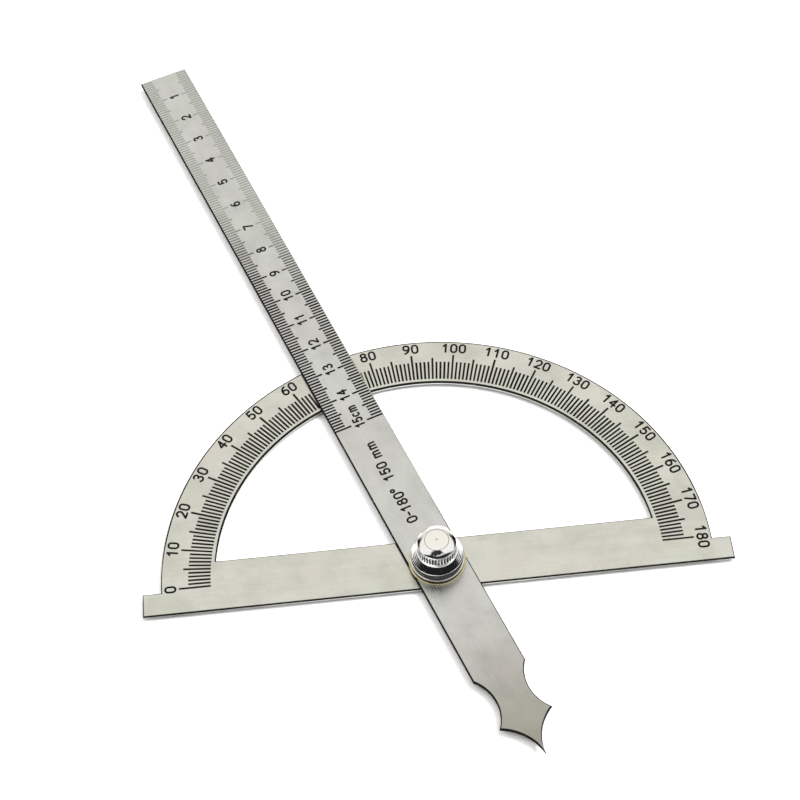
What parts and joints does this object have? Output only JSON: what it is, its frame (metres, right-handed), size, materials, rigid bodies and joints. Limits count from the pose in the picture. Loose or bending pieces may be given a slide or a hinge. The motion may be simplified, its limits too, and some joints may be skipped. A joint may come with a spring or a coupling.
{
  "type": "protractor",
  "caption": "Half-circle steel protractor with a straight base bar and a pivoting ruler arm with a pointer tail, clamped by a knurled knob.",
  "frame": {"origin": "on the pivot axis, at the underside of the pivot screw's head, which is the lowest point", "axes": "+X along the base bar towards the 180 degree mark, +Y from the bar towards the half circle's crown, +Z out of the scale side along the pivot axis"},
  "size_m": [0.158, 0.2496, 0.0142],
  "materials": {
    "plate_steel": "satin stainless sheet with printed black scale",
    "screw_nickel": "bright nickel plating",
    "arm_steel": "satin stainless sheet with printed black scale",
    "washer_brass": "bright, lightly tarnished",
    "spring_steel": "plain spring steel",
    "knob_chrome": "polished nickel-chrome plating, slightly warm"
  },
  "bodies": {
    "base": {"base_plate": "plate_steel", "pivot_screw": "screw_nickel"},
    "arm": {"ruler_arm": "arm_steel", "flat_washer": "washer_brass"},
    "lift": {"wave_washer": "spring_steel"},
    "knob": {"clamp_knob": "knob_chrome"}
  },
  "joints": [
    {"name": "arm_swing", "type": "hinge", "parent": "base", "child": "arm", "pos_m": [0, 0, 0.0026], "axis": [0, 0, 1], "continuous": true},
    {"name": "clamp_lift", "type": "slide", "parent": "base", "child": "lift", "axis": [0, 0, 1], "range_m": [0, 0.0007], "deforming": ["wave_washer"]},
    {"name": "knob_turn", "type": "hinge", "parent": "lift", "child": "knob", "pos_m": [0, 0, 0.009], "axis": [0, 0, 1], "range_deg": [0, 360]}
  ],
  "couplings": [
    {"joint": "clamp_lift", "follows": "knob_turn", "m_per_rad": 0.00011141}
  ]
}
